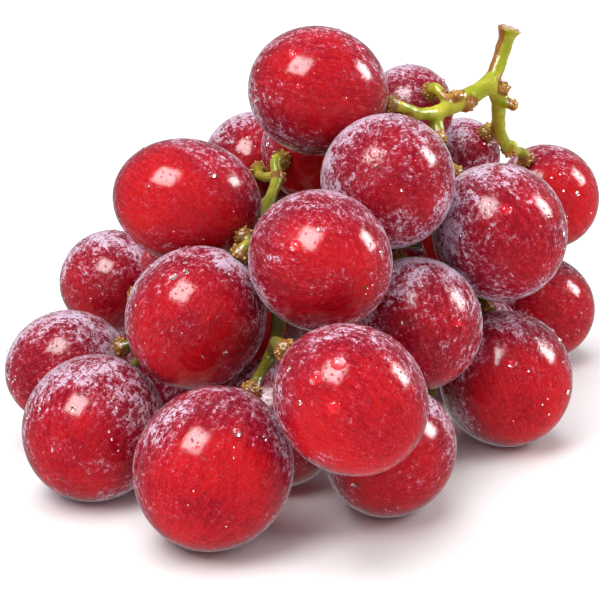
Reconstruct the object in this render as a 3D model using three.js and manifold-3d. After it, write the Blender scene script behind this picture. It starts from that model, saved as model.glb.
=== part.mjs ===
// A bunch of large red table grapes, cut with a short woody stem and laid on a flat surface.
// Each berry is a solid of its own. The stem, its shoots and the stalks of the berries grew as one
// piece, so they are one solid. Millimetres, +Z up, +X to the right as the bunch is looked at from
// the front, with the origin in the middle of its footprint, on the surface that it lies on.

import * as THREE from "three";
import { mergeVertices } from "three/addons/utils/BufferGeometryUtils.js";
import Module from "manifold-3d";

const wasm = await Module();
wasm.setup();

// What a berry is like: rounder than an egg, pressed a little flat where it lies and at its stalk.
const BERRY_SIDES = 14;
const BERRY_ROWS = 9;
const STALK_SEAT_RADIUS = 2.4;
const FLAT_DEPTH = 0.45;
const CLEARANCE = 0.35;

// What a stalk is like: a thin round stem that widens into a knobbly collar against its berry. The
// collar's outline lists how far back from the berry, as a share of its length, and how wide, as a
// share of its radius.
const STALK_RADIUS = 1.05;
const STALK_ROOT_SHARE = 1.35;
const STALK_NECK_SHARE = 1.1;
const STALK_STEP = 5;
const CLEARING_PASSES = 60;
const COLLAR_RADIUS = 1.95;
const COLLAR_LENGTH = 2.1;
const COLLAR_OUTLINE = [[0.62, 0.8], [0.4, 1], [0.12, 1], [0, 0.86]];
const STALK_LEAD = 3.2;
const MOST_OF_LEAD = 0.8;
const STALK_SIDES = 6;

// What a shoot is like: round, and thicker at its joints than between them.
const STEM_SIDES = 8;
const BETWEEN_JOINTS_SHARE = 0.9;

// Settling: berries push each other and the stems apart until all keep the clearance.
const SETTLING_PASSES = 600;
const SEEN_GIVE = 0.25;
const HIDDEN_GIVE = 1;
const STEM_SAMPLES = 4;

// The surface that the bunch lies on, as a block to cut with, and the sameness of merged points.
const SURFACE_WIDTH = 400;
const SURFACE_DEPTH = 40;
const SAME_POINT = 1e-4;

// One berry: its middle, its width, how much longer than wide it is and which joint of its shoot it
// hangs from. "stalk" is the side its stalk is on, where that isn't simply towards the joint, and
// "long" the way its long axis runs, where that isn't through its stalk.
const berry = (at, width, stretch, joint, more = {}) => ({ at, width, stretch, joint, ...more });

// The stem and its shoots. Each joint is a place that the shoot runs through and its radius there.
// "from" names the shoot and the joint that it grows from.
const SHOOTS = {
  stem: {
    joints: [
      [42.2, 19.9, 76.95, 2.35], [41, 20, 72.4, 1.65], [40, 19, 69.4, 1.6], [38.2, 17.2, 66.1, 1.9],
      [33.4, 14.5, 63.6, 2], [30.4, 12.5, 62.3, 1.6], [27.3, 11, 61.3, 1.65],
      [27.3, 10, 59, 1.35], [27.7, 8.5, 57, 1.55], [20, 7, 48, 1.5], [6, 4, 41, 1.6],
      [-3, -12, 35, 1.5], [-5, -27, 30, 1.4], [-5, -38, 28, 1.2],
    ],
    fixed: 9,
    berries: [
      berry([22.3, 25, 58.8], 18.4, 1.04, 5, { seen: true, stalk: [0.39, -0.75, 0.53] }),
      berry([38, -7, 42], 26, 1.03, 9, { seen: true, stalk: [-0.6, 0.36, 0.71] }),
      berry([16, -15, 54], 25.2, 1.08, 9, { seen: true, stalk: [0.2, 0.85, -0.4] }),
      berry([-15, -58, 14], 27.6, 1.05, 13, { seen: true, lies: true, stalk: [0.42, 0.5, 0.75] }),
      berry([8.5, -63, 28.5], 25, 1.09, 13, { seen: true, stalk: [-0.75, 0.45, 0.45] }),
      berry([-4, -30, 11.5], 23, 1.06, 12, { seen: true, lies: true }),
      berry([36, 16, 34], 22.4, 1.05, 9, { stalk: [-0.55, -0.25, 0.8] }),
    ],
  },
  top_shoot: {
    from: ["stem", 6],
    joints: [[25.2, 9, 61.7, 1.35], [22.9, 7, 62.1, 1.25]],
    fixed: 3,
    berries: [berry([4, 2, 67], 25, 1.09, 2, { seen: true, stalk: [0.97, 0.08, -0.2] })],
  },
  right_shoot: {
    from: ["stem", 3],
    joints: [
      [40, 19.2, 63.2, 1.6], [40.7, 21.5, 59.5, 1.5], [41, 24.5, 55.6, 1.55],
      [42.1, 27, 52.5, 1.35], [43.9, 31, 48.8, 1.25],
    ],
    fixed: 5,
    berries: [
      berry([35, 34, 47], 16, 1.05, 3, { seen: true, stalk: [0.53, -0.5, 0.68] }),
      berry([53, 44, 35], 22.4, 1.04, 5, { seen: true, stalk: [-0.44, -0.42, 0.79] }),
    ],
  },
  upper_left_shoot: {
    from: ["stem", 11],
    joints: [
      [-9.7, -14, 38.7, 1.3], [-9.1, -8, 41.6, 1.3], [-6.3, 2, 44.8, 1.25], [-4.4, 9.5, 48.4, 1.3],
    ],
    berries: [
      berry([4, -34.5, 45], 25, 1.11, 1, { seen: true, stalk: [-0.55, 0.8, 0.1] }),
      berry([-19, -30, 31.5], 25.6, 1.05, 1, { seen: true, stalk: [0.57, 0.15, 0.8] }),
      berry([-21, -11.5, 48.7], 23.6, 1.2, 2, {
        seen: true, stalk: [0.7, -0.6, -0.33], long: [0.98, 0, -0.2],
      }),
      berry([-11, 40, 43], 21.8, 1.05, 4, { seen: true, stalk: [0.1, -0.97, 0.12] }),
      berry([4, 25, 51.5], 21.6, 1.04, 4, { stalk: [-0.55, -0.83, 0] }),
      berry([-22, 25, 37], 21.5, 1.06, 3),
    ],
  },
  left_shoot: {
    from: ["stem", 11],
    joints: [[-14, -11, 30, 1.3], [-26, -8, 26, 1.2]],
    berries: [
      berry([-46, -9.7, 15], 22.2, 1.12, 2, { seen: true, stalk: [0.86, -0.3, 0.42] }),
      berry([-37.5, -35.5, 13.2], 26.2, 1.06, 2, { seen: true, lies: true }),
      berry([-38, 16.6, 24.4], 21.4, 1.1, 2, { seen: true }),
      berry([-22, -7, 11.5], 22.6, 1.05, 1, { lies: true }),
      berry([-23, 5, 29.5], 20.8, 1.05, 1),
    ],
  },
  lower_right_shoot: {
    from: ["stem", 10],
    joints: [[16, -3, 35, 1.4], [25, -2, 28, 1.2]],
    berries: [
      berry([22.3, -21, 28], 24.6, 1.03, 1, { seen: true, stalk: [-0.25, 0.62, 0.74] }),
      berry([40.6, -10, 13], 26, 1.03, 2, { seen: true, lies: true, stalk: [-0.28, 0.45, 0.85] }),
      berry([16.5, -43, 12.4], 23, 1.18, 2, {
        seen: true, lies: true, stalk: [0.45, 0.86, 0.12], via: [[26, -8, 15]],
      }),
      berry([12, 1, 11.5], 22.4, 1.06, 1, { lies: true }),
      berry([35, 18, 11.5], 23, 1.05, 2, { lies: true }),
    ],
  },
  back_shoot: {
    from: ["stem", 10],
    joints: [[4, 16, 35, 1.4], [-3, 29, 31, 1.3], [1, 33, 39, 1.1]],
    berries: [
      berry([11, 26, 11.5], 23, 1.06, 1, { lies: true }),
      berry([-16, 16, 11.5], 22.6, 1.05, 1, { lies: true }),
      berry([11, 45, 32], 22.4, 1.08, 2),
      berry([-6, 45, 11.5], 23.4, 1.06, 2, { lies: true }),
      berry([-26, 45, 30], 21.6, 1.05, 2),
      berry([-31, 33, 11.5], 22.8, 1.06, 2, { lies: true }),
      berry([11, 43, 53], 20.6, 1.06, 3),
    ],
  },
  back_right_shoot: {
    from: ["back_shoot", 1],
    joints: [[20, 24, 31, 1.3], [33, 32, 27, 1.2]],
    berries: [
      berry([53.5, 40, 11], 22.6, 1.04, 2, { seen: true, lies: true }),
      berry([34, 49, 30], 22.4, 1.06, 2),
      berry([24, 48, 11.8], 23, 1.05, 1, { lies: true }),
    ],
  },
};

// Bare stalks, whose berries have dropped: the shoot and joint, where on the way to the next joint
// they stand, the way they point, their length and the radius of their dried end.
const BARE_STALKS = [
  { shoot: "stem", joint: 4, along: 0.05, way: [0.1, -0.75, -0.6], length: 2.7, end: 1.35 },
  { shoot: "stem", joint: 4, along: 0.75, way: [0.1, -0.3, 0.95], length: 2.8, end: 1.5 },
  { shoot: "right_shoot", joint: 1, along: 0, way: [0.5, -0.5, 0.7], length: 3.3, end: 1.35 },
  { shoot: "right_shoot", joint: 1, along: 0.2, way: [0.8, -0.55, -0.25], length: 4.7, end: 1.2 },
  { shoot: "right_shoot", joint: 4, along: 0.6, way: [0.9, -0.4, 0.1], length: 2.4, end: 1.1 },
];

const vector = (numbers) => new THREE.Vector3(...numbers);

// How far a berry reaches from its middle in a direction of length 1.
function reach(fruit, direction) {
  const width = fruit.width / 2;
  const length = width * fruit.stretch;
  const share = fruit.longAxis.dot(direction);
  return Math.sqrt(width * width + (length * length - width * width) * share * share);
}

// The joints of every shoot as points, each shoot beginning at the joint that it grows from.
function layOutShoots() {
  const shoots = {};
  for (const [name, shoot] of Object.entries(SHOOTS)) {
    const joints = shoot.joints.map(([x, y, z, radius], index) => ({
      point: new THREE.Vector3(x, y, z),
      radius,
      give: index < (shoot.fixed ?? 0) ? 0 : 1,
    }));
    if (shoot.from) joints.unshift(shoots[shoot.from[0]].joints[shoot.from[1]]);
    shoots[name] = { ...shoot, joints };
  }
  return shoots;
}

function layOutBerries(shoots) {
  const berries = [];
  for (const [shootName, shoot] of Object.entries(shoots)) {
    shoot.berries.forEach((fruit, index) => {
      berries.push({
        ...fruit,
        name: `berry_${shootName.replace("_shoot", "")}_${index + 1}`,
        centre: vector(fruit.at),
        root: shoot.joints[fruit.joint],
        give: fruit.seen ? SEEN_GIVE : HIDDEN_GIVE,
      });
    });
  }
  berries.forEach(turnToStalk);
  return berries;
}

function turnToStalk(fruit) {
  const towardsRoot = fruit.root.point.clone().sub(fruit.centre);
  fruit.axis = (fruit.stalk ? vector(fruit.stalk) : towardsRoot).normalize();
  fruit.longAxis = fruit.long ? vector(fruit.long).normalize() : fruit.axis;
}

// Two berries that are too close move apart, the seen ones less than the hidden ones.
function partBerries(a, b) {
  const between = b.centre.clone().sub(a.centre);
  const distance = between.length();
  between.normalize();
  const missing = reach(a, between) + reach(b, between) + CLEARANCE - distance;
  if (missing <= 0) return;
  const whole = a.give + b.give;
  a.centre.addScaledVector(between, (-missing * a.give) / whole);
  b.centre.addScaledVector(between, (missing * b.give) / whole);
}

// A berry and a piece of stem that are too close move apart.
function partFromStem(fruit, start, end) {
  const radius = Math.max(start.radius, end.radius);
  for (let k = 0; k <= STEM_SAMPLES; k++) {
    const share = k / STEM_SAMPLES;
    const point = start.point.clone().lerp(end.point, share);
    const away = fruit.centre.clone().sub(point);
    const distance = away.length();
    away.normalize();
    const missing = reach(fruit, away) + radius + 2 * CLEARANCE - distance;
    if (missing <= 0) continue;
    const stemGive = (1 - share) * start.give + share * end.give;
    const whole = fruit.give + stemGive;
    fruit.centre.addScaledVector(away, (missing * fruit.give) / whole);
    start.point.addScaledVector(away, (-missing * start.give * (1 - share)) / whole);
    end.point.addScaledVector(away, (-missing * end.give * share) / whole);
  }
}

const UP = new THREE.Vector3(0, 0, 1);

function settle(shoots, berries) {
  for (let pass = 0; pass < SETTLING_PASSES; pass++) {
    for (const shoot of Object.values(shoots)) {
      for (let k = 0; k + 1 < shoot.joints.length; k++) {
        for (const fruit of berries) partFromStem(fruit, shoot.joints[k], shoot.joints[k + 1]);
      }
    }
    berries.forEach((a, i) => berries.slice(i + 1).forEach((b) => partBerries(a, b)));
    for (const fruit of berries) {
      const resting = reach(fruit, UP);
      if (fruit.lies) fruit.centre.z = resting;
      else fruit.centre.z = Math.max(fruit.centre.z, resting + CLEARANCE);
      turnToStalk(fruit);
    }
  }
}

// A closed three.js geometry as a solid, with the triangles that collapse at its poles left out.
function solidOf(geometry) {
  const bare = geometry.clone();
  bare.deleteAttribute("normal");
  bare.deleteAttribute("uv");
  const merged = mergeVertices(bare, SAME_POINT);
  const corners = merged.index.array;
  const kept = [];
  for (let k = 0; k < corners.length; k += 3) {
    const [a, b, c] = [corners[k], corners[k + 1], corners[k + 2]];
    if (a !== b && b !== c && a !== c) kept.push(a, b, c);
  }
  return new wasm.Manifold(
    new wasm.Mesh({
      numProp: 3,
      vertProperties: merged.attributes.position.array,
      triVerts: new Uint32Array(kept),
    }),
  );
}

function geometryOf(solid) {
  const mesh = solid.getMesh();
  const geometry = new THREE.BufferGeometry();
  geometry.setAttribute("position", new THREE.BufferAttribute(mesh.vertProperties, 3));
  geometry.setIndex(new THREE.BufferAttribute(mesh.triVerts, 1));
  const faceted = geometry.toNonIndexed();
  faceted.computeVertexNormals();
  return faceted;
}

// The outline of half a round berry, from the tip up to the flat seat of its stalk.
function berryOutline(radius) {
  const seatAngle = Math.asin(STALK_SEAT_RADIUS / radius);
  const outline = [];
  for (let row = 0; row <= BERRY_ROWS; row++) {
    const angle = Math.PI - ((Math.PI - seatAngle) * row) / BERRY_ROWS;
    const across = row === 0 ? 0 : radius * Math.sin(angle);
    outline.push(new THREE.Vector2(across, radius * Math.cos(angle)));
  }
  outline.push(new THREE.Vector2(0, radius * Math.cos(seatAngle)));
  return outline;
}

// Stretches points along a berry's long axis.
function stretched(fruit, point) {
  return point.addScaledVector(fruit.longAxis, point.dot(fruit.longAxis) * (fruit.stretch - 1));
}

function stalkSeat(fruit) {
  const radius = fruit.width / 2;
  const height = Math.sqrt(radius * radius - STALK_SEAT_RADIUS * STALK_SEAT_RADIUS);
  return stretched(fruit, fruit.axis.clone().multiplyScalar(height)).add(fruit.centre);
}

function berryGeometry(fruit) {
  const geometry = new THREE.LatheGeometry(berryOutline(fruit.width / 2), BERRY_SIDES);
  const turn = new THREE.Quaternion().setFromUnitVectors(new THREE.Vector3(0, 1, 0), fruit.axis);
  geometry.applyQuaternion(turn);
  const position = geometry.attributes.position;
  const point = new THREE.Vector3();
  for (let k = 0; k < position.count; k++) {
    stretched(fruit, point.fromBufferAttribute(position, k));
    position.setXYZ(k, point.x, point.y, point.z);
  }
  return geometry;
}

// Lets the berries that lie on the surface sink into it by the depth of their flat spot.
function press(berries) {
  for (const fruit of berries.filter((one) => one.lies)) {
    const geometry = berryGeometry(fruit);
    geometry.computeBoundingBox();
    fruit.centre.z = -geometry.boundingBox.min.z - FLAT_DEPTH;
  }
}

function berrySolid(fruit, belowSurface) {
  const { x, y, z } = fruit.centre;
  const whole = solidOf(berryGeometry(fruit).translate(x, y, z));
  return fruit.lies ? whole.subtract(belowSurface) : whole;
}

// Bends a round straight piece along a curve through points. Its outline lists, for each ring, how
// many points along the curve it is and its radius; it begins and ends on the curve itself.
function bentRound(points, outline, sides) {
  const curve = new THREE.CatmullRomCurve3(points, false, "centripetal");
  const profile = outline.map(([along, radius]) => new THREE.Vector2(radius, along));
  const geometry = new THREE.LatheGeometry(profile, sides);
  const position = geometry.attributes.position;
  const across = new THREE.Vector3(0.36, 0.48, 0.8);
  const rings = outline.map(([along]) => {
    const share = along / (points.length - 1);
    const ahead = curve.getTangent(share);
    across.addScaledVector(ahead, -across.dot(ahead)).normalize();
    return { middle: curve.getPoint(share), across: across.clone(), over: ahead.cross(across) };
  });
  for (let k = 0; k < position.count; k++) {
    const ring = rings[k % outline.length];
    const place = ring.middle
      .clone()
      .addScaledVector(ring.across, position.getX(k))
      .addScaledVector(ring.over, -position.getZ(k));
    position.setXYZ(k, place.x, place.y, place.z);
  }
  return solidOf(geometry);
}

// A shoot is a little thicker at its joints, where stalks leave it, than between them.
function shootSolid(shoot) {
  const outline = [[0, 0]];
  shoot.joints.forEach((joint, index) => {
    const next = shoot.joints[index + 1];
    outline.push([index, joint.radius]);
    if (!next) return;
    const thinner = BETWEEN_JOINTS_SHARE * Math.min(joint.radius, next.radius);
    outline.push([index + 0.5, thinner]);
  });
  outline.push([shoot.joints.length - 1, 0]);
  return bentRound(shoot.joints.map((joint) => joint.point), outline, STEM_SIDES);
}

// The way of a stalk from its joint to its berry, bent clear of every berry that is in the way.
function stalkWay(fruit, berries) {
  const end = stalkSeat(fruit).addScaledVector(fruit.axis, CLEARANCE);
  const lead = end.clone().addScaledVector(fruit.axis, STALK_LEAD);
  const start = fruit.root.point.clone();
  const corners = [start, ...(fruit.via ?? []).map(vector), lead];
  const middle = [];
  corners.slice(1).forEach((corner, index) => {
    const span = corners[index].distanceTo(corner);
    const pieces = Math.max(1, Math.round(span / STALK_STEP));
    for (let k = index === 0 ? 1 : 0; k < pieces; k++) {
      middle.push(corners[index].clone().lerp(corner, k / pieces));
    }
  });
  for (let pass = 0; pass < CLEARING_PASSES; pass++) {
    for (const point of middle) {
      for (const other of berries) {
        const away = point.clone().sub(other.centre);
        const distance = away.length();
        away.normalize();
        const missing = reach(other, away) + STALK_RADIUS + 2 * CLEARANCE - distance;
        if (missing > 0) point.addScaledVector(away, missing);
      }
      point.z = Math.max(point.z, STALK_RADIUS + 2 * CLEARANCE);
    }
  }
  return [start, ...middle, lead, end];
}

// A stalk is thin and even, and its last stretch widens into the collar.
function stalkSolid(points, endRadius) {
  const last = points.length - 1;
  const lead = points[last - 1].distanceTo(points[last]);
  const collarShare = Math.min(COLLAR_LENGTH / lead, MOST_OF_LEAD);
  const collar = (share) => last - collarShare * share;
  const outline = [[0, 0], [0, STALK_RADIUS * STALK_ROOT_SHARE]];
  for (let k = 1; k < last; k++) outline.push([k, STALK_RADIUS]);
  outline.push([collar(1), STALK_RADIUS * STALK_NECK_SHARE]);
  for (const [back, wide] of COLLAR_OUTLINE) outline.push([collar(back), endRadius * wide]);
  outline.push([last, 0]);
  return bentRound(points, outline, STALK_SIDES);
}

function bareStalkSolid(shoots, bare) {
  const joints = shoots[bare.shoot].joints;
  const start = joints[bare.joint].point.clone().lerp(joints[bare.joint + 1].point, bare.along);
  const end = start.clone().addScaledVector(vector(bare.way).normalize(), bare.length);
  return stalkSolid([start, end], bare.end);
}

// All stems and stalks grown into one body. Joining them can leave specks of no size where faces
// almost meet, and those are dropped.
function rachisSolid(shoots, berries) {
  const pieces = Object.values(shoots).map(shootSolid);
  for (const fruit of berries) {
    pieces.push(stalkSolid(stalkWay(fruit, berries), COLLAR_RADIUS));
  }
  for (const bare of BARE_STALKS) pieces.push(bareStalkSolid(shoots, bare));
  const whole = pieces.reduce((joined, piece) => joined.add(piece));
  return whole.decompose().reduce((a, b) => (a.volume() > b.volume() ? a : b));
}

const skin = new THREE.MeshStandardMaterial({ color: 0xa3213a, roughness: 0.35, metalness: 0 });
const greenWood = new THREE.MeshStandardMaterial({ color: 0x9aa83a, roughness: 0.5, metalness: 0 });

function bunchOfGrapes() {
  const shoots = layOutShoots();
  const berries = layOutBerries(shoots);
  settle(shoots, berries);
  press(berries);

  const surface = new THREE.BoxGeometry(SURFACE_WIDTH, SURFACE_WIDTH, SURFACE_DEPTH);
  surface.translate(0, 0, -SURFACE_DEPTH / 2);
  const belowSurface = solidOf(surface);

  const bunch = new THREE.Group();
  for (const fruit of berries) {
    const mesh = new THREE.Mesh(geometryOf(berrySolid(fruit, belowSurface)), skin.clone());
    mesh.name = fruit.name;
    bunch.add(mesh);
  }
  const rachis = new THREE.Mesh(geometryOf(rachisSolid(shoots, berries)), greenWood);
  rachis.name = "rachis";
  bunch.add(rachis);

  const box = new THREE.Box3().setFromObject(bunch);
  const middle = box.getCenter(new THREE.Vector3());
  for (const mesh of bunch.children) mesh.geometry.translate(-middle.x, -middle.y, 0);
  return bunch;
}

export default bunchOfGrapes();
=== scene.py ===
import math

import bmesh
import bpy
import numpy as np
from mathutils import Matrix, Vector, noise


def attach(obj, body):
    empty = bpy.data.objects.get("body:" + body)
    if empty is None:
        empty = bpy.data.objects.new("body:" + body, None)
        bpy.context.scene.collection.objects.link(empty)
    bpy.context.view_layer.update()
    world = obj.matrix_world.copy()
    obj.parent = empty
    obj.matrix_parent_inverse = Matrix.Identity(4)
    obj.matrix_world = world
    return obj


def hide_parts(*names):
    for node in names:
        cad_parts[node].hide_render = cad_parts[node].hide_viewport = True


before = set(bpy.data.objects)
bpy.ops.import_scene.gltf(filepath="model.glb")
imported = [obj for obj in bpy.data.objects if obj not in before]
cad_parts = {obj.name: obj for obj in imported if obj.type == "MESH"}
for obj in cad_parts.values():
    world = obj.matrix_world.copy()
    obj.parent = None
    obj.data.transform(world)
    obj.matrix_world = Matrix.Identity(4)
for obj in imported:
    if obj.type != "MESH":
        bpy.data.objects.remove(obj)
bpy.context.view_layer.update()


# The berries: large round table grapes, each a thin smooth skin over clear flesh. A berry is a
# little longer than wide, dimpled where its stalk goes in, and ends in a tiny dry scar opposite.
# Each hangs on its stalk; the lowest ones lie on the table and are flat there.
BERRY_SIDES = 72
BERRY_ROWS = 46
POLE_CROWDING = 0.09
BERRY_SWELL = 0.00011
LUMP_HEIGHT = 0.00013
LUMP_COUNT = 9
DIMPLE_DEPTH, DIMPLE_RADIUS = 0.00028, 0.0017
DIMPLE_RIM, DIMPLE_RIM_RADIUS, DIMPLE_RIM_WIDTH = 0.00012, 0.0033, 0.0010
SCAR_HEIGHT, SCAR_RADIUS = 0.00016, 0.00032
SCAR_HOLLOW, SCAR_HOLLOW_RADIUS = 0.00014, 0.0013
ON_TABLE = 1e-5
BUNCH_MIDDLE = np.array([0.0, 0.0, 0.030])
SPREAD_OF_SEEDS, SPREAD_OF_DUST = 0.37, 0.618
# The first of these thickens the bloom round a berry's sides, which on the berries seen in front also paints
# a pale sheen round their rims; the second thins it where rubbed, which there also paints their middles
# brighter, as if lit.
BLOOM_AND_SHEEN_ON_SIDES, BLOOM_RUBBED_OFF_AND_LIT = 0.27, 0.12

# The skin's colours: dark, usual and glowing red flesh, its pink flecks, the thin and the thick
# lilac bloom, the dark specks in it and the dry scar. On the berries seen in front the dark flesh
# is partly painted shade towards their rims, and the glowing flesh partly painted light in their middles.
FLESH_DEEP = (0.15, 0.0010, 0.0095, 1)
FLESH_RED = (0.39, 0.0026, 0.0135, 1)
FLESH_BRIGHT = (0.66, 0.0095, 0.0105, 1)
FLESH_PINK = (0.62, 0.070, 0.130, 1)
BLOOM_THIN = (0.46, 0.050, 0.110, 1)
BLOOM_THICK = (0.78, 0.63, 0.80, 1)
SPECK_DARK = (0.06, 0.0008, 0.004, 1)
SCAR_BROWN = (0.16, 0.06, 0.018, 1)

# The front of the bunch is looked at from a little above: right, up and near as seen from there.
FRONT_PITCH = math.radians(18)
FRONT_RIGHT = np.array([1.0, 0.0, 0.0])
FRONT_UP = np.array([0.0, math.sin(FRONT_PITCH), math.cos(FRONT_PITCH)])
FRONT_NEAR = np.array([0.0, -math.cos(FRONT_PITCH), math.sin(FRONT_PITCH)])


def fitted_ellipsoid(points):
    """The middle of the ellipsoid through the points, and the matrix that stretches a ball to it."""
    start = points.mean(0)
    x, y, z = (points - start).T
    terms = np.stack([x * x, y * y, z * z, 2 * x * y, 2 * x * z, 2 * y * z, 2 * x, 2 * y, 2 * z], 1)
    unit = np.abs(terms).max(0)
    q = np.linalg.lstsq(terms / unit, np.ones(len(points)), rcond=None)[0] / unit
    form = np.array([[q[0], q[3], q[4]], [q[3], q[1], q[5]], [q[4], q[5], q[2]]])
    offset = -np.linalg.solve(form, q[6:9])
    values, axes = np.linalg.eigh(form / (1 + offset @ form @ offset))
    return start + offset, (axes / np.sqrt(values)) @ axes.T


def read_berry(node):
    """The true shape of the berry that a faceted solid stands for, and which way its stalk is."""
    points = np.unique([tuple(v.co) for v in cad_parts[node].data.vertices], axis=0)
    lies = points[:, 2].min() < ON_TABLE
    curved = points[points[:, 2] > ON_TABLE] if lies else points
    middle, stretch = fitted_ellipsoid(curved)
    depth = np.linalg.norm((curved - middle) @ np.linalg.inv(stretch), axis=1)
    seat = curved[depth.argmin()]
    middle, stretch = fitted_ellipsoid(np.delete(curved, depth.argmin(), axis=0))
    towards_stalk = np.linalg.inv(stretch) @ (seat - middle)
    return {
        "node": node,
        "middle": middle,
        "stretch": stretch,
        "seat": seat,
        "pole": towards_stalk / np.linalg.norm(towards_stalk),
    }


def unit_ball():
    """Points of a ball, in rings from pole to pole, and the faces between them."""
    shares = np.linspace(0, 1, BERRY_ROWS + 1)[1:-1]
    tilts = math.pi * (shares - POLE_CROWDING * np.sin(2 * math.pi * shares))
    turns = np.arange(BERRY_SIDES) * 2 * math.pi / BERRY_SIDES
    tilt, turn = np.meshgrid(tilts, turns, indexing="ij")
    rings = np.stack([np.sin(tilt) * np.cos(turn), np.sin(tilt) * np.sin(turn), np.cos(tilt)], -1)
    points = np.concatenate([[[0, 0, 1]], rings.reshape(-1, 3), [[0, 0, -1]]])
    last = len(points) - 1
    faces = []
    for side in range(BERRY_SIDES):
        beside = (side + 1) % BERRY_SIDES
        faces.append((0, 1 + side, 1 + beside))
        for row in range(BERRY_ROWS - 2):
            here, below = 1 + row * BERRY_SIDES, 1 + (row + 1) * BERRY_SIDES
            faces.append((here + side, below + side, below + beside, here + beside))
        bottom = 1 + (BERRY_ROWS - 2) * BERRY_SIDES
        faces.append((bottom + side, last, bottom + beside))
    return points, faces


def skin_relief(ball, radius, draw):
    """How far the skin stands out from the plain ellipsoid: soft lumps, the dimple and the scar."""
    lumps = np.zeros(len(ball))
    for _ in range(LUMP_COUNT):
        wave = draw.normal(0, 1.7, 3)
        lumps += np.sin(ball @ wave + draw.uniform(0, 6.28))
    height = lumps * LUMP_HEIGHT / LUMP_COUNT * 2
    to_stalk = np.arccos(np.clip(ball[:, 2], -1, 1)) * radius
    to_scar = math.pi * radius - to_stalk
    height -= DIMPLE_DEPTH * np.exp(-((to_stalk / DIMPLE_RADIUS) ** 2))
    height += DIMPLE_RIM * np.exp(-(((to_stalk - DIMPLE_RIM_RADIUS) / DIMPLE_RIM_WIDTH) ** 2))
    height -= SCAR_HOLLOW * np.exp(-((to_scar / SCAR_HOLLOW_RADIUS) ** 2))
    height += SCAR_HEIGHT * np.exp(-((to_scar / SCAR_RADIUS) ** 4))
    return height + BERRY_SWELL


def rise(values, low, high):
    """0 below low, 1 above high and smooth between them."""
    share = np.clip((values - low) / (high - low), 0, 1)
    return share * share * (3 - 2 * share)


def bloom_and_painted_sheen(berry, facing, dust, in_front):
    """How much bloom is left: it is rubbed off where a berry faces out of the bunch and where it
    leans on those behind it, and stays round its sides. On the berries seen in front the thick
    sides are also a painted pale sheen round their rims, and the rubbed middles painted light."""
    outwards = berry["middle"] - BUNCH_MIDDLE
    outwards /= np.linalg.norm(outwards)
    # On the berries seen in front, out is turned towards the front, a little right and down, so their thick
    # bloom stands for a painted sheen round their rims and its lack for painted light in their middles.
    if in_front:
        outwards = 0.35 * outwards + FRONT_NEAR + 0.10 * FRONT_RIGHT - 0.28 * FRONT_UP
        outwards /= np.linalg.norm(outwards)
    rubbed_and_lit = rise(np.abs(facing @ outwards), 0.12, 0.92)
    return dust + BLOOM_AND_SHEEN_ON_SIDES * (1 - rubbed_and_lit) - BLOOM_RUBBED_OFF_AND_LIT * rubbed_and_lit


def turned_to(pole, points):
    """Points of a ball turned so that their +Z is the pole."""
    turn = Vector((0, 0, 1)).rotation_difference(Vector(pole)).to_matrix()
    return points @ np.array(turn).T


def set_attribute(mesh, name, kind, values):
    field = {"FLOAT": "value", "FLOAT_VECTOR": "vector"}[kind]
    attribute = mesh.attributes.new(name, kind, "POINT")
    attribute.data.foreach_set(field, np.asarray(values, np.float32).ravel())


def build_berry(berry, number, dust, in_front):
    """The finished berry. Its skin keeps its own place on the ball, for the marks that follow it."""
    ball, faces = unit_ball()
    radius = np.cbrt(np.linalg.det(berry["stretch"]))
    relief = skin_relief(ball, radius, np.random.default_rng(100 + number))
    spread = turned_to(berry["pole"], ball)
    points = berry["middle"] + (spread * (1 + relief / radius)[:, None]) @ berry["stretch"]
    points[:, 2] = np.maximum(points[:, 2], 0)
    facing = spread @ np.linalg.inv(berry["stretch"])
    facing /= np.linalg.norm(facing, axis=1)[:, None]
    name = berry["node"].replace("berry", "grape")
    mesh = bpy.data.meshes.new(name)
    mesh.from_pydata(points.tolist(), [], faces)
    mesh.polygons.foreach_set("use_smooth", [True] * len(mesh.polygons))
    set_attribute(mesh, "skin_place", "FLOAT_VECTOR", ball * radius * 1000)
    set_attribute(mesh, "skin_seed", "FLOAT", np.full(len(ball), number * SPREAD_OF_SEEDS % 1))
    # How much bloom each point keeps; on the berries seen in front this also carries the painted rim sheen
    # and the painted light in their middles.
    set_attribute(mesh, "skin_dust", "FLOAT", bloom_and_painted_sheen(berry, facing, dust, in_front))
    grape = bpy.data.objects.new(name, mesh)
    bpy.context.scene.collection.objects.link(grape)
    return grape


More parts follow.
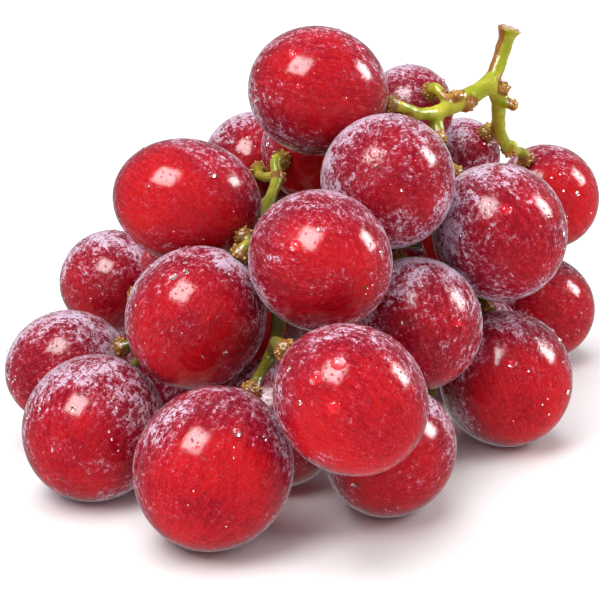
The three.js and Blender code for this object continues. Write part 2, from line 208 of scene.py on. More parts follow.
class Socket:
    """A node's output in a material. Sums with it add the nodes that work them out."""

    def __init__(self, tree, output=None):
        self.tree = tree
        self.output = output

    def add(self, kind, settings=None, sockets=None, result=0):
        """A new node of any kind, with its settings, and its sockets' values or links."""
        node = self.tree.nodes.new(kind)
        for name, value in (settings or {}).items():
            setattr(node, name, value)
        for name, value in (sockets or {}).items():
            socket = next(s for s in node.inputs if name in (s.identifier, s.name))
            if isinstance(value, Socket):
                self.tree.links.new(value.output, socket)
            else:
                socket.default_value = value
        found = [s for s in node.outputs if result in (s.identifier, s.name)]
        return Socket(self.tree, found[0] if found else node.outputs[result])

    def maths(self, operation, first, second=0.0):
        return self.add(
            "ShaderNodeMath", {"operation": operation}, {"Value": first, "Value_001": second}
        )

    def __add__(self, other):
        return self.maths("ADD", self, other)

    __radd__ = __add__

    def __sub__(self, other):
        return self.maths("SUBTRACT", self, other)

    def __rsub__(self, other):
        return self.maths("SUBTRACT", other, self)

    def __mul__(self, other):
        return self.maths("MULTIPLY", self, other)

    __rmul__ = __mul__

    def step(self, low, high):
        """0 below low, 1 above high and smooth between them."""
        return self.add(
            "ShaderNodeMapRange",
            {"interpolation_type": "SMOOTHSTEP"},
            {"Value": self, "From Min": low, "From Max": high},
        )

    def blend(self, without, full):
        """The colour that goes from one to the other as this goes from 0 to 1."""
        return self.add(
            "ShaderNodeMix",
            {"data_type": "RGBA"},
            {"Factor_Float": self, "A_Color": without, "B_Color": full},
            "Result_Color",
        )

    def vector(self, operation, other=None, result="Vector"):
        """A sum with vectors. What it is done with is a vector, a number for SCALE or nothing."""
        sockets = {"Vector": self}
        if other is not None:
            sockets["Scale" if operation == "SCALE" else "Vector_001"] = other
        return self.add("ShaderNodeVectorMath", {"operation": operation}, sockets, result)

    def noise(self, scale, detail=2.0, roughness=0.5, distortion=0.0):
        return self.add(
            "ShaderNodeTexNoise",
            {"noise_dimensions": "3D"},
            {
                "Vector": self,
                "Scale": scale,
                "Detail": detail,
                "Roughness": roughness,
                "Distortion": distortion,
            },
        )

    def cells(self, scale):
        """How far it is to the nearest of many scattered points."""
        return self.add(
            "ShaderNodeTexVoronoi",
            {"feature": "F1"},
            {"Vector": self, "Scale": scale},
            "Distance",
        )


def new_material(name):
    """An empty material and the sheet that its nodes are drawn on."""
    material = bpy.data.materials.new(name)
    material.use_nodes = True
    material.node_tree.nodes.remove(material.node_tree.nodes["Principled BSDF"])
    return material, Socket(material.node_tree)


def paint_with(shader):
    """Makes that shader the surface of its material."""
    end = next(node for node in shader.tree.nodes if node.type == "OUTPUT_MATERIAL")
    shader.tree.links.new(shader.output, end.inputs["Surface"])


def grape_skin():
    material, sheet = new_material("grape_skin")
    place = sheet.add("ShaderNodeAttribute", {"attribute_name": "skin_place"}, result="Vector")
    seed = sheet.add("ShaderNodeAttribute", {"attribute_name": "skin_seed"}, result="Fac")
    # The bloom left, which on the berries seen in front also holds a painted pale sheen at their rims and
    # painted light in their middles.
    dust = sheet.add("ShaderNodeAttribute", {"attribute_name": "skin_dust"}, result="Fac")
    shift = sheet.add("ShaderNodeCombineXYZ", sockets={"X": seed * 171, "Y": seed * 93, "Z": seed * 57})
    spot = place.vector("ADD", shift)
    around = place.vector("MULTIPLY", (1, 1, 0)).vector("NORMALIZE").vector("SCALE", 12.0)
    along = place.vector("MULTIPLY", (0, 0, 0.12))
    meridian = around.vector("ADD", along).vector("ADD", shift)

    streaks = meridian.noise(1.5, 4, 0.66)
    fine_streaks = meridian.noise(3.8, 4, 0.70)
    clouds = spot.noise(0.10, 2, 0.5)
    patches = spot.noise(0.17, 3, 0.55, 0.8)
    lace = spot.noise(1.0, 6, 0.72, 0.6)
    grain = spot.noise(3.4, 4, 0.7)

    # Dark flesh where the bloom is thick: on the berries seen in front this is painted shade towards their
    # rims.
    depth = clouds * 0.4 + streaks * 0.4 + fine_streaks * 0.6 + lace * 0.8 - dust * 0.8 - 0.22
    tone = depth.step(0.0, 0.75)
    flesh = tone.blend(FLESH_DEEP, FLESH_RED)
    # Glowing flesh where the bloom is rubbed off: on the berries seen in front this is painted light in
    # their middles.
    tone_and_painted_light = streaks * 0.4 + fine_streaks * 0.4 + lace * 0.6 + clouds * 0.5 - dust * 0.9
    glow = tone_and_painted_light.step(0.36, 0.86)
    flesh = glow.blend(flesh, FLESH_BRIGHT)
    threads = (fine_streaks * 0.7 + grain * 0.5).step(0.62, 0.80)
    flecks = spot.noise(2.5, 5, 0.78).step(0.545, 0.63)
    flesh = (threads * 0.40 + flecks * 0.48).step(0.0, 1.0).blend(flesh, FLESH_PINK)

    # More wax where the bloom is thick: on the berries seen in front this is also a painted pale sheen round
    # their rims.
    amount = (patches - 0.5) * 1.6 + (dust - 0.56) * 1.5
    detail = (lace - 0.5) * 2.9 + (grain - 0.5) * 1.1 + (streaks - 0.5) * 0.9
    thin = (amount + detail).step(-0.25, 0.28)
    thick = (amount + detail).step(0.10, 0.66)
    specks = 1 - spot.cells(1.0).step(0.15, 0.28)
    pinpricks = 1 - spot.cells(2.6).step(0.07, 0.17)
    bare = (specks * patches.step(0.34, 0.48) + pinpricks * grain.step(0.42, 0.58)).step(0.1, 0.9)
    scratched = 1 - meridian.noise(1.6, 5, 0.75, 1.4).step(0.33, 0.41)
    kept = 1 - (bare * 0.9 + scratched * 0.6).step(0.0, 1.0)
    flesh = (bare * (0.2 + thin * 0.65)).blend(flesh, SPECK_DARK)

    height = place.add("ShaderNodeSeparateXYZ", sockets={"Vector": place}, result="Z")
    off_axis = place.vector("MULTIPLY", (1, 1, 0)).vector("LENGTH", result="Value")
    scar = (1 - off_axis.step(0.28, 0.48)) * (1 - height.step(-1.0, 0.0))
    flesh = scar.blend(flesh, SCAR_BROWN)

    relief = grain * 0.4 + lace * 0.5 + thick * 0.15 - bare * 1.5
    bump = sheet.add(
        "ShaderNodeBump",
        sockets={"Strength": 0.3, "Distance": 0.0001, "Height": relief},
        result="Normal",
    )
    flesh_shader = sheet.add("ShaderNodeBsdfPrincipled", sockets={
        "Base Color": flesh,
        "Roughness": 0.02 + grain * 0.05 + bare * 0.5,
        "Normal": bump,
        "Subsurface Weight": 0.15,
        "Subsurface Radius": (1.0, 0.06, 0.05),
        "Subsurface Scale": 0.002,
        "IOR": 1.34,
    })
    wax_shader = sheet.add("ShaderNodeBsdfPrincipled", sockets={
        "Base Color": thick.blend(BLOOM_THIN, BLOOM_THICK),
        "Roughness": 0.12 + grain * 0.22,
        "Normal": bump,
        "IOR": 1.37,
        "Sheen Weight": 0.9,
        "Sheen Roughness": 0.28,
        "Sheen Tint": (0.92, 0.86, 1.0, 1),
    })
    cover = (thin * 0.32 + thick * 0.50) * kept * (1 - scar)
    both = {"Fac": cover, "Shader": flesh_shader, "Shader_001": wax_shader}
    paint_with(sheet.add("ShaderNodeMixShader", sockets=both))
    return material


# How thick the wax bloom still is on a berry: 0 is rubbed off nearly everywhere, 1 is untouched.
DUSTY = {
    "berry_top_1": 0.5, "berry_stem_1": 0.66, "berry_right_1": 0.76, "berry_right_2": 0.46,
    "berry_stem_2": 0.60, "berry_stem_3": 0.64, "berry_upper_left_3": 0.44,
    "berry_upper_left_4": 0.64, "berry_upper_left_1": 0.5, "berry_upper_left_2": 0.5,
    "berry_left_3": 0.60, "berry_left_1": 0.62, "berry_left_2": 0.56, "berry_stem_4": 0.44,
    "berry_stem_5": 0.43, "berry_lower_right_1": 0.62, "berry_lower_right_3": 0.5,
    "berry_lower_right_2": 0.45, "berry_back_right_1": 0.5,
}
LEAST_DUST, MOST_DUST = 0.36, 0.60

berries = [read_berry(node) for node in sorted(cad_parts) if node.startswith("berry_")]
skin = grape_skin()
for number, berry in enumerate(berries):
    usual = LEAST_DUST + (MOST_DUST - LEAST_DUST) * (number * SPREAD_OF_DUST % 1)
    dust = DUSTY.get(berry["node"], usual)
    grape = build_berry(berry, number, dust, berry["node"] in DUSTY)
    grape.data.materials.append(skin)
    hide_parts(berry["node"])
    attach(grape, "root")


# The stem: green wood that forks again and again down to one short stalk for each berry. It grew
# in one piece, so its forks are rounded and it swells into a knobbly collar at each berry. It was
# cut off at the top, and where berries have dropped it is scarred brown.
STEM_VOXEL = 0.00033
STEM_SMOOTHING = 20
STEM_REGROWTH = 0.00024
BARK_RIPPLE = 0.00007
COLLAR_REACH = 0.0036
COLLAR_ROUGHNESS = 0.00026
CUT_REACH = 0.0032
CUT_EDGE = 0.0007
CUT_HOLD = 0.85
COLLAR_HOLD = 0.5
CUT_FLARE = 0.00030
CUT_RAGGEDNESS = 0.00016
SHAFT_BOTTOM = 0.066
BARK_FINENESS, COLLAR_FINENESS, SAW_FINENESS = 900, 1500, 2500

STEM_GREEN = (0.35, 0.385, 0.010, 1)
STEM_YELLOW = (0.62, 0.57, 0.050, 1)
STEM_PAINTED_SHADE = (0.085, 0.070, 0.008, 1)
STEM_BROWN = (0.25, 0.075, 0.016, 1)
SCAR_GOLD = (0.56, 0.31, 0.060, 1)
SCAR_BARK = (0.33, 0.105, 0.020, 1)
COLLAR_BROWN = (0.23, 0.080, 0.014, 1)
CUT_WOOD = (0.62, 0.36, 0.20, 1)
CUT_PALE = (0.72, 0.55, 0.38, 1)
CUT_BROWN = (0.22, 0.085, 0.025, 1)

# Deep in the bunch the stalks are darkened towards olive as painted shade, wholly so below the first of
# these heights.
SHADED_BELOW, SUNNY_ABOVE = 0.040, 0.052

# Where berries have dropped, and where the wood is scarred: place and size of each brown spot.
SCARS = [
    ((0.0298, 0.0208, 0.0626), 0.0030), ((0.0269, 0.0196, 0.0650), 0.0030),
    ((0.0375, 0.0245, 0.0658), 0.0028), ((0.0405, 0.0240, 0.0622), 0.0026),
    ((0.0403, 0.0372, 0.0487), 0.0022), ((0.0241, 0.0150, 0.0568), 0.0024),
    ((0.0236, 0.0172, 0.0614), 0.0014), ((0.0174, 0.0118, 0.0624), 0.0016),
    ((0.0361, 0.0310, 0.0556), 0.0016), ((-0.0081, 0.0160, 0.0484), 0.0020),
]


def remeshed(node, name):
    """The node's solid grown into one even skin, with its faceted bends and forks rounded."""
    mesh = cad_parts[node].data.copy()
    mesh.name = name
    bm = bmesh.new()
    bm.from_mesh(mesh)
    bmesh.ops.remove_doubles(bm, verts=bm.verts, dist=1e-6)
    bm.to_mesh(mesh)
    bm.free()
    mesh.materials.clear()
    piece = bpy.data.objects.new(name, mesh)
    bpy.context.scene.collection.objects.link(piece)
    remesh = piece.modifiers.new("grow", "REMESH")
    remesh.mode = "VOXEL"
    remesh.voxel_size = STEM_VOXEL
    evaluated = piece.evaluated_get(bpy.context.evaluated_depsgraph_get())
    grown = bpy.data.meshes.new_from_object(evaluated)
    piece.modifiers.clear()
    piece.data = grown
    grown.name = name
    return piece


def cut_end(node):
    """The middle of the sawn face on top of the stem, and the way that it faces."""
    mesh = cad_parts[node].data
    highest = max((v.co for v in mesh.vertices), key=lambda co: co.z)
    faces = [f for f in mesh.polygons if (f.center - highest).length < 0.005 and f.normal.z > 0.8]
    middle = sum((f.center * f.area for f in faces), Vector()) / sum(f.area for f in faces)
    facing = sum((f.normal * f.area for f in faces), Vector()).normalized()
    return np.array(middle), np.array(facing)


def smoothed(mesh, points, give):
    """The points after each has moved many times towards its neighbours, by its own give."""
    ends = np.empty(len(mesh.edges) * 2, np.int32)
    mesh.edges.foreach_get("vertices", ends)
    one, other = ends.reshape(-1, 2).T
    count = np.bincount(ends, minlength=len(points))[:, None]
    for _ in range(STEM_SMOOTHING):
        total = np.stack([
            np.bincount(one, points[other, axis], len(points))
            + np.bincount(other, points[one, axis], len(points))
            for axis in range(3)
        ], 1)
        points = points + 0.5 * give[:, None] * (total / count - points)
    return points


def points_and_normals(mesh):
    points = np.empty(len(mesh.vertices) * 3, np.float32)
    normals = np.empty(len(mesh.vertices) * 3, np.float32)
    mesh.vertices.foreach_get("co", points)
    mesh.vertices.foreach_get("normal", normals)
    return points.reshape(-1, 3).astype(float), normals.reshape(-1, 3).astype(float)


def nearness(points, places, reach):
    """1 at any of the places, and 0 from their reach on."""
    near = np.zeros(len(points))
    for place, distance in zip(places, reach):
        near = np.maximum(near, 1 - rise(np.linalg.norm(points - place, axis=1), 0.45 * distance, distance))
    return near


def rough(points, scale):
    return np.array([noise.fractal(Vector(p) * scale, 1.0, 2.0, 3) for p in points])


stem = remeshed("rachis", "grape_stem")
cut_middle, cut_facing = cut_end("rachis")
points, normals = points_and_normals(stem.data)
below_cut = (cut_middle - points) @ cut_facing
off_cut = np.linalg.norm(points - cut_middle + below_cut[:, None] * cut_facing, axis=1)
at_cut = (1 - rise(below_cut, 0.5 * CUT_EDGE, 1.5 * CUT_EDGE)) * (off_cut < CUT_REACH)
seats = [berry["seat"] for berry in berries]
collar = nearness(points, seats, [COLLAR_REACH] * len(seats))
points = smoothed(stem.data, points, 1 - np.maximum(CUT_HOLD * at_cut, COLLAR_HOLD * collar))
stem.data.vertices.foreach_set("co", points.astype(np.float32).ravel())
stem.data.update()
points, normals = points_and_normals(stem.data)
scarred = nearness(points, [np.array(place) for place, _ in SCARS], [size for _, size in SCARS])
cut = at_cut * rise(normals @ cut_facing, 0.35, 0.8)
weathered = rise(-normals[:, 0], 0.2, 0.75) * rise(points[:, 2], SHAFT_BOTTOM, SHAFT_BOTTOM + 0.004)
knobbly = np.maximum(collar, 0.8 * scarred)
lift = (
    STEM_REGROWTH * (1 - at_cut)
    + CUT_FLARE * at_cut * (1 - cut)
    + BARK_RIPPLE * rough(points, BARK_FINENESS)
    + COLLAR_ROUGHNESS * knobbly * (rough(points, COLLAR_FINENESS) + 0.1)
    + CUT_RAGGEDNESS * cut * rough(points, SAW_FINENESS)
)
points += normals * lift[:, None]
stem.data.vertices.foreach_set("co", points.astype(np.float32).ravel())
stem.data.update()
stem.data.polygons.foreach_set("use_smooth", [True] * len(stem.data.polygons))
set_attribute(stem.data, "collar", "FLOAT", collar)
set_attribute(stem.data, "scarred", "FLOAT", np.maximum(scarred, 0.75 * weathered))
set_attribute(stem.data, "cut", "FLOAT", cut)
set_attribute(stem.data, "shaded", "FLOAT", 1 - rise(points[:, 2], SHADED_BELOW, SUNNY_ABOVE))
set_attribute(stem.data, "off_cut", "FLOAT", off_cut * 1000)
set_attribute(stem.data, "knobbly", "FLOAT", knobbly)


def stem_bark():
    material, sheet = new_material("green_stem")
    place = sheet.add("ShaderNodeTexCoord", result="Object").vector("SCALE", 1000.0)
    collar = sheet.add("ShaderNodeAttribute", {"attribute_name": "collar"}, result="Fac")
    scarred = sheet.add("ShaderNodeAttribute", {"attribute_name": "scarred"}, result="Fac")
    cut = sheet.add("ShaderNodeAttribute", {"attribute_name": "cut"}, result="Fac")
    off_cut = sheet.add("ShaderNodeAttribute", {"attribute_name": "off_cut"}, result="Fac")
    shaded = sheet.add("ShaderNodeAttribute", {"attribute_name": "shaded"}, result="Fac")
    clouds = place.noise(0.22, 3, 0.55)
    blotches = place.noise(0.9, 4, 0.6)
    grain = place.noise(3.5, 4, 0.65)
    fibres = place.vector("MULTIPLY", (4.0, 4.0, 0.5)).noise(1.0, 4, 0.6)
    lenticels = 1 - place.cells(0.8).step(0.09, 0.17)

    coloured = clouds.step(0.35, 0.68).blend(STEM_GREEN, STEM_YELLOW)
    coloured = (fibres.step(0.55, 0.75) * 0.25).blend(coloured, STEM_YELLOW)
    coloured = (lenticels * blotches.step(0.45, 0.6) * 0.7).blend(coloured, STEM_BROWN)
    flecks = blotches.step(0.60, 0.74) * 0.55
    coloured = flecks.blend(coloured, STEM_BROWN)
    # Painted shade: low in the bunch the stalks turn dark olive.
    coloured = (shaded * (0.7 + blotches * 0.4)).blend(coloured, STEM_PAINTED_SHADE)
    ring = (collar + blotches * 0.6 - 0.3).step(0.15, 0.60)
    coloured = (ring * 0.85).blend(coloured, COLLAR_BROWN)
    coloured = (collar * grain.step(0.50, 0.60) * 0.8).blend(coloured, SCAR_GOLD)
    bark = (scarred + grain * 0.4 + blotches * 0.5 - 0.45).step(0.15, 0.50)
    coloured = (bark * 0.9).blend(coloured, SCAR_BARK)
    heart = (scarred + blotches * 0.5 - 0.25).step(0.72, 0.94)
    coloured = (heart * 0.8).blend(coloured, SCAR_GOLD)
    wood = (grain + blotches * 0.5).step(0.55, 0.95).blend(CUT_WOOD, CUT_PALE)
    rim = (off_cut + blotches).step(1.9, 2.4)
    pith = 1 - (off_cut + grain * 0.6).step(0.6, 0.9)
    wood = (rim * 0.8 + pith * 0.5).blend(wood, CUT_BROWN)
    coloured = cut.step(0.3, 0.7).blend(coloured, wood)

    relief = blotches * 0.4 + grain * 0.5 + fibres * 0.3
    bump = sheet.add(
        "ShaderNodeBump",
        sockets={"Strength": 0.5, "Distance": 0.00016, "Height": relief},
        result="Normal",
    )
    paint_with(sheet.add("ShaderNodeBsdfPrincipled", sockets={
        "Base Color": coloured,
        "Roughness": 0.10 + 0.24 * grain + 0.08 * collar,
        "Normal": bump,
        "Subsurface Weight": 0.12,
        "Subsurface Radius": (0.6, 0.8, 0.15),
        "Subsurface Scale": 0.001,
    }))
    return material


stem.data.materials.append(stem_bark())
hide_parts("rachis")
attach(stem, "root")


# The warts: small hard knobs of corky tissue, crowded on the collars and the stubs of dropped
# berries. They grow out of the bark, so each one is half sunk in it.
WART_DENSITY = 2.0e6
WART_SPACING = 0.00050
WART_SMALL, WART_LARGE = 0.00022, 0.00040
WART_SEED = 7
WART_RISE = 0.12
WART_DARK = (0.13, 0.040, 0.009, 1)
WART_GOLD = (0.60, 0.31, 0.055, 1)
WART_GREEN = (0.45, 0.42, 0.06, 1)


class Shape:
    """A geometry tree. Each call adds one node, with its settings and its sockets' values or links."""

    def __init__(self, name, sizes):
        self.tree = bpy.data.node_groups.new(name, "GeometryNodeTree")
        self.tree.interface.new_socket("Geometry", in_out="INPUT", socket_type="NodeSocketGeometry")
        self.keys = {}
        for size, kind in sizes.items():
            item = self.tree.interface.new_socket(size, in_out="INPUT", socket_type=kind)
            self.keys[size] = item.identifier
        self.tree.interface.new_socket("Geometry", in_out="OUTPUT", socket_type="NodeSocketGeometry")
        self.given = self.tree.nodes.new("NodeGroupInput")
        self.made = self.tree.nodes.new("NodeGroupOutput")

    def add(self, kind, settings=None, sockets=None):
        node = self.tree.nodes.new(kind)
        for name, value in (settings or {}).items():
            setattr(node, name, value)
        for name, value in (sockets or {}).items():
            socket = next(s for s in node.inputs if name in (s.identifier, s.name))
            if isinstance(value, bpy.types.NodeSocket):
                self.tree.links.new(value, socket)
            else:
                socket.default_value = value
        return node

    def finish(self, geometry, material):
        real = self.add("GeometryNodeRealizeInstances", sockets={"Geometry": geometry})
        painted = self.add(
            "GeometryNodeSetMaterial", sockets={"Geometry": real.outputs[0], "Material": material}
        )
        self.tree.links.new(painted.outputs[0], self.made.inputs[0])

    def grown_on(self, mesh, name, sizes):
        """A plain mesh object of what the tree makes on that mesh."""
        piece = bpy.data.objects.new(name, mesh)
        bpy.context.scene.collection.objects.link(piece)
        modifier = piece.modifiers.new("repeat", "NODES")
        modifier.node_group = self.tree
        for size, value in sizes.items():
            modifier[self.keys[size]] = value
        evaluated = piece.evaluated_get(bpy.context.evaluated_depsgraph_get())
        result = bpy.data.meshes.new_from_object(evaluated)
        piece.modifiers.clear()
        piece.data = result
        result.name = name
        return piece


def wart_cork():
    material, sheet = new_material("wart_cork")
    place = sheet.add("ShaderNodeTexCoord", result="Object").vector("SCALE", 1000.0)
    tint = place.noise(1.5, 3, 0.6)
    grain = place.noise(5.0, 3, 0.6)
    coloured = tint.step(0.38, 0.54).blend(WART_DARK, WART_GOLD)
    coloured = (grain.step(0.55, 0.7) * 0.5).blend(coloured, WART_GREEN)
    bump = sheet.add(
        "ShaderNodeBump",
        sockets={"Strength": 0.5, "Distance": 0.0001, "Height": grain},
        result="Normal",
    )
    paint_with(sheet.add("ShaderNodeBsdfPrincipled", sockets={
        "Base Color": coloured, "Roughness": 0.12 + 0.2 * grain, "Normal": bump,
    }))
    return material


def wart_tree():
    shape = Shape("warts", {
        "Density": "NodeSocketFloat", "Spacing": "NodeSocketFloat", "Smallest": "NodeSocketFloat",
        "Largest": "NodeSocketFloat", "Seed": "NodeSocketInt",
    })
    given = shape.given.outputs
    knobbly = shape.add("GeometryNodeInputNamedAttribute", {"data_type": "FLOAT"}, {"Name": "knobbly"})
    crowded = shape.add(
        "ShaderNodeMapRange", {"clamp": True}, {"Value": knobbly.outputs[0], "From Min": 0.35}
    )
    spots = shape.add(
        "GeometryNodeDistributePointsOnFaces",
        {"distribute_method": "POISSON"},
        {
            "Mesh": given["Geometry"],
            "Distance Min": given["Spacing"],
            "Density Max": given["Density"],
            "Density Factor": crowded.outputs[0],
            "Seed": given["Seed"],
        },
    )
    knob = shape.add("GeometryNodeMeshUVSphere", sockets={"Segments": 8, "Rings": 5, "Radius": 1.0})
    size = shape.add(
        "FunctionNodeRandomValue",
        {"data_type": "FLOAT"},
        {"Min_001": given["Smallest"], "Max_001": given["Largest"], "Seed": given["Seed"]},
    )
    warts = shape.add(
        "GeometryNodeInstanceOnPoints",
        sockets={
            "Points": spots.outputs["Points"],
            "Instance": knob.outputs[0],
            "Rotation": spots.outputs["Rotation"],
            "Scale": size.outputs[1],
        },
    )
    raised = shape.add(
        "GeometryNodeTranslateInstances",
        sockets={"Instances": warts.outputs[0], "Translation": (0, 0, WART_RISE), "Local Space": True},
    )
    shape.finish(raised.outputs[0], wart_cork())
    return shape


warts = wart_tree().grown_on(stem.data.copy(), "stem_warts", {
    "Density": WART_DENSITY, "Spacing": WART_SPACING, "Smallest": WART_SMALL,
    "Largest": WART_LARGE, "Seed": WART_SEED,
})
warts.data.polygons.foreach_set("use_smooth", [True] * len(warts.data.polygons))
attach(warts, "root")


# The water: the bunch was rinsed, and clear drops cling to the skins where they face upwards, most
# of them tiny and a few nearly 3 mm wide. Each is a low dome that sits on the wax.
DROP_SIDES = 12
DROP_RINGS = 4
DROP_HEIGHT = 0.62
DROPS_A_BERRY = 44
SMALL_DROP, LARGE_DROP = 0.00014, 0.00060
DROP_CLEARANCE = 0.0012
DROP_SEED = 41
DROP_SINK = 0.08
WATER_CLEAR = (1, 1, 1, 1)

# The larger drops: the berry, how far right and up of its middle as seen from the front, as a
# share of its radius, and the drop's own radius.
LARGE_DROPS = [
    ("berry_top_1", 0.58, 0.62, 0.0011), ("berry_stem_3", -0.22, 0.35, 0.0012),
    ("berry_stem_2", 0.00, 0.28, 0.0012), ("berry_upper_left_1", -0.40, 0.22, 0.0012),
    ("berry_stem_5", -0.44, 0.28, 0.0012), ("berry_stem_5", -0.15, 0.50, 0.0014),
    ("berry_stem_5", -0.25, -0.04, 0.0013), ("berry_lower_right_1", 0.55, 0.05, 0.0009),
    ("berry_lower_right_2", 0.00, 0.25, 0.0009), ("berry_stem_2", 0.38, 0.42, 0.0007),
    ("berry_upper_left_3", 0.35, 0.42, 0.0008), ("berry_upper_left_2", -0.30, 0.55, 0.0007),
    ("berry_stem_4", 0.30, 0.48, 0.0008), ("berry_top_1", -0.30, 0.45, 0.0008),
]


def skin_point(berry, facing):
    """The point of a berry's skin that faces that way."""
    reach = berry["stretch"] @ (berry["stretch"] @ facing)
    return berry["middle"] + reach / np.linalg.norm(berry["stretch"] @ facing)


def open_air(point, own):
    """Whether a drop has room there, clear of the other berries and the table."""
    if point[2] < 0.004:
        return False
    for other in berries:
        if other is own:
            continue
        inside = np.linalg.norm(np.linalg.inv(other["stretch"]) @ (point - other["middle"]))
        if (inside - 1) * np.cbrt(np.linalg.det(other["stretch"])) < DROP_CLEARANCE:
            return False
    return np.linalg.norm(point - own["seat"]) > 0.0045


def drop_places():
    draw = np.random.default_rng(DROP_SEED)
    by_node = {berry["node"]: berry for berry in berries}
    places = []
    for node, right, up, radius in LARGE_DROPS:
        near = math.sqrt(1 - right * right - up * up)
        facing = right * FRONT_RIGHT + up * FRONT_UP + near * FRONT_NEAR
        places.append((skin_point(by_node[node], facing), facing, radius))
    for berry in berries:
        for _ in range(DROPS_A_BERRY):
            facing = draw.normal(0, 1, 3) + (0, 0, 0.5)
            facing /= np.linalg.norm(facing)
            radius = SMALL_DROP + (LARGE_DROP - SMALL_DROP) * draw.random() ** 3
            point = skin_point(berry, facing)
            if facing[2] > -0.35 and open_air(point, berry):
                places.append((point, facing, radius))
    return places


def drop_points(places):
    """A mesh of loose points: where each drop sits, which way it faces and how wide it is."""
    mesh = bpy.data.meshes.new("drop_points")
    mesh.from_pydata([tuple(p + BERRY_SWELL * n) for p, n, _ in places], [], [])
    set_attribute(mesh, "facing", "FLOAT_VECTOR", [n for _, n, _ in places])
    set_attribute(mesh, "width", "FLOAT", [r for _, _, r in places])
    return mesh


def drop_dome():
    """One drop of radius 1, a low dome with a closed flat bottom just under the skin."""
    bm = bmesh.new()
    rings = []
    for ring in range(DROP_RINGS):
        tilt = math.pi / 2 * (1 - ring / DROP_RINGS)
        radius, height = math.sin(tilt), DROP_HEIGHT * math.cos(tilt)
        rings.append([
            bm.verts.new((radius * math.cos(a), radius * math.sin(a), height - DROP_SINK))
            for a in (2 * math.pi * k / DROP_SIDES for k in range(DROP_SIDES))
        ])
    top = bm.verts.new((0, 0, DROP_HEIGHT - DROP_SINK))
    for lower, upper in zip(rings, rings[1:]):
        for k in range(DROP_SIDES):
            beside = (k + 1) % DROP_SIDES
            bm.faces.new((lower[k], lower[beside], upper[beside], upper[k]))
    for k in range(DROP_SIDES):
        bm.faces.new((rings[-1][k], rings[-1][(k + 1) % DROP_SIDES], top))
    bm.faces.new(list(reversed(rings[0])))
    mesh = bpy.data.meshes.new("drop_dome")
    bm.to_mesh(mesh)
    bm.free()
    return bpy.data.objects.new("drop_dome", mesh)


def water():
    material, sheet = new_material("clear_water")
    place = sheet.add("ShaderNodeTexCoord", result="Object").vector("SCALE", 1000.0)
    ripple = sheet.add(
        "ShaderNodeBump",
        sockets={"Strength": 0.08, "Distance": 0.0001, "Height": place.noise(0.8, 2, 0.5)},
        result="Normal",
    )
    paint_with(sheet.add("ShaderNodeBsdfPrincipled", sockets={
        "Base Color": WATER_CLEAR, "Roughness": 0.02, "IOR": 1.33, "Transmission Weight": 1.0,
        "Normal": ripple,
    }))
    return material


def drop_tree(dome):
    shape = Shape("drops", {"Drop": "NodeSocketObject", "Width": "NodeSocketFloat"})
    given = shape.given.outputs
    facing = shape.add("GeometryNodeInputNamedAttribute", {"data_type": "FLOAT_VECTOR"}, {"Name": "facing"})
    width = shape.add("GeometryNodeInputNamedAttribute", {"data_type": "FLOAT"}, {"Name": "width"})
    turn = shape.add("FunctionNodeAlignRotationToVector", {"axis": "Z"}, {"Vector": facing.outputs[0]})
    size = shape.add(
        "ShaderNodeMath", {"operation": "MULTIPLY"}, {"Value": width.outputs[0], "Value_001": given["Width"]}
    )
    one = shape.add("GeometryNodeObjectInfo", sockets={"Object": given["Drop"]})
    drops = shape.add(
        "GeometryNodeInstanceOnPoints",
        sockets={
            "Points": given["Geometry"],
            "Instance": one.outputs["Geometry"],
            "Rotation": turn.outputs[0],
            "Scale": size.outputs[0],
        },
    )
    shape.finish(drops.outputs[0], water())
    return shape


dome = drop_dome()
drops = drop_tree(dome).grown_on(drop_points(drop_places()), "water_drops", {"Drop": dome, "Width": 1.0})
bpy.data.objects.remove(dome)
drops.data.polygons.foreach_set("use_smooth", [True] * len(drops.data.polygons))
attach(drops, "root")


# The table and the light: a plain white table, a large soft window at the front left, a second one
# at the right, a broad soft light from above and an even white room.
TABLE_SIZE = 3.0
TABLE_WHITE = (0.94, 0.94, 0.94, 1)
ROOM_BRIGHTNESS = 0.37
BUNCH_HEART = Vector((0, 0, 0.035))
WINDOW_DISTANCE = 0.9


def white_table():
    material, sheet = new_material("white_table")
    paint_with(sheet.add("ShaderNodeBsdfPrincipled", sockets={
        "Base Color": TABLE_WHITE, "Roughness": 0.8,
    }))
    mesh = bpy.data.meshes.new("table")
    half = TABLE_SIZE / 2
    corners = [(-half, -half, 0), (half, -half, 0), (half, half, 0), (-half, half, 0)]
    mesh.from_pydata(corners, [], [(0, 1, 2, 3)])
    mesh.materials.append(material)
    table = bpy.data.objects.new("table", mesh)
    bpy.context.scene.collection.objects.link(table)
    table.visible_glossy = False


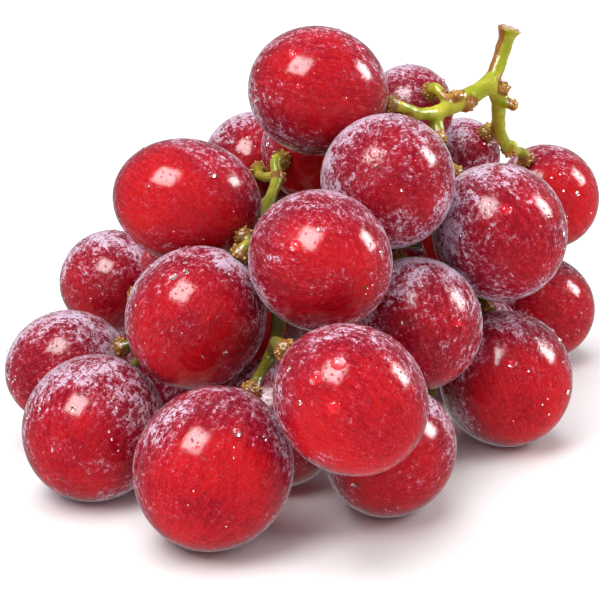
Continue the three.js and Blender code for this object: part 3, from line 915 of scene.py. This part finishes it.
def hang(lamp, direction, distance, seen_by):
    """Hangs a lamp that faces the bunch, in a direction seen from the front. Light for the matt
    surfaces and for the mirror images in the glossy ones can come from lamps of their own."""
    right, up, near = direction
    way = Vector(right * FRONT_RIGHT + up * FRONT_UP + near * FRONT_NEAR).normalized()
    holder = bpy.data.objects.new(lamp.name, lamp)
    holder.location = BUNCH_HEART + way * distance
    holder.rotation_euler = way.to_track_quat("Z", "Y").to_euler()
    holder.visible_diffuse = seen_by != "mirrors"
    holder.visible_glossy = seen_by != "matt"
    bpy.context.scene.collection.objects.link(holder)


def window(name, direction, size, power, seen_by):
    lamp = bpy.data.lights.new(name, "AREA")
    lamp.shape = "RECTANGLE"
    lamp.size, lamp.size_y = size
    lamp.energy = power
    hang(lamp, direction, WINDOW_DISTANCE, seen_by)


white_table()
window("light_left", (-0.45, 0.62, 0.64), (0.5, 0.5), 3.9, "matt")
window("light_right", (0.90, 0.55, 0.10), (0.4, 0.5), 2.5, "matt")
window("shine_left", (-0.38, 0.64, 0.67), (0.44, 0.46), 16.0, "mirrors")
window("shine_right", (0.88, 0.50, 0.02), (0.27, 0.36), 10.0, "mirrors")

sky = bpy.data.lights.new("soft_top_light", "SUN")
sky.energy = 2.15
sky.angle = math.radians(50)
hang(sky, (-0.12, 1.0, 0.18), 1.5, "matt")

world = bpy.data.worlds.new("white_room")
world.use_nodes = True
world.node_tree.nodes["Background"].inputs["Color"].default_value = (1, 1, 1, 1)
world.node_tree.nodes["Background"].inputs["Strength"].default_value = ROOM_BRIGHTNESS
bpy.context.scene.world = world
bpy.context.scene.view_settings.view_transform = "Standard"


# The camera looks at the bunch from the front, a little from above.
CAMERA_FROM_FRONT_BERRY = Vector((-0.0085, -0.3170, 0.1207))
FRONT_BERRY = next(berry for berry in berries if berry["node"] == "berry_stem_5")

camera = bpy.data.objects.new("camera", bpy.data.cameras.new("camera"))
camera.data.lens = 120
camera.data.sensor_width = 36
camera.location = Vector(FRONT_BERRY["middle"]) + CAMERA_FROM_FRONT_BERRY
camera.rotation_euler = (math.pi / 2 - FRONT_PITCH, 0, 0)
bpy.context.scene.collection.objects.link(camera)
bpy.context.scene.camera = camera
